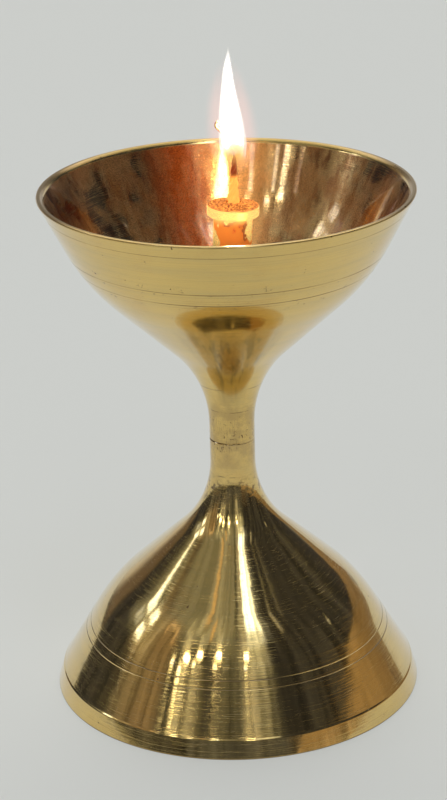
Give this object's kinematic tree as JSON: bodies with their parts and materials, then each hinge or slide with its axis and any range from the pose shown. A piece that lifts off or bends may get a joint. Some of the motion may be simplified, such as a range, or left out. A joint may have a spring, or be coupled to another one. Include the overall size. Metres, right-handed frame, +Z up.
{
  "type": "akhand diya oil lamp",
  "caption": "Hourglass brass akhand diya: a flared oil bowl screwed on a bell-shaped base by a hidden stud, with a lift-out tube wick holder, cotton wick, oil and flame.",
  "frame": {"origin": "centre of the foot's flat underside, on the table", "axes": "+Z up along the lamp's axis, from the foot to the flame; -Y towards the viewer of the picture, +X to the viewer's right"},
  "size_m": [0.0908, 0.0908, 0.163],
  "materials": {
    "base_brass": "polished",
    "stud_brass": "satin",
    "bowl_brass": "polished",
    "oil": "gloss",
    "holder_brass": "polished",
    "cotton": "matte",
    "fire": "gloss"
  },
  "bodies": {
    "base": {"base": "base_brass"},
    "stud": {"joining_stud": "stud_brass"},
    "bowl": {"bowl": "bowl_brass", "lamp_oil": "oil"},
    "holder": {"wick_holder": "holder_brass"},
    "wick": {"wick": "cotton", "flame": "fire"}
  },
  "joints": [
    {"name": "bowl_rise", "type": "slide", "parent": "base", "child": "stud", "axis": [0, 0, 1], "range_m": [0, 0.0096]},
    {"name": "bowl_turn", "type": "hinge", "parent": "stud", "child": "bowl", "pos_m": [0, 0, 0.0645], "axis": [0, 0, 1], "range_deg": [0, 2700]},
    {"name": "holder_lift", "type": "slide", "parent": "bowl", "child": "holder", "axis": [0.0436, 0, 0.999], "range_m": [0, 0.048]},
    {"name": "wick_feed", "type": "slide", "parent": "holder", "child": "wick", "axis": [0.0436, 0, 0.999], "range_m": [0, 0.012]}
  ],
  "couplings": [
    {"joint": "bowl_rise", "follows": "bowl_turn", "m_per_rad": 0.00020213}
  ]
}
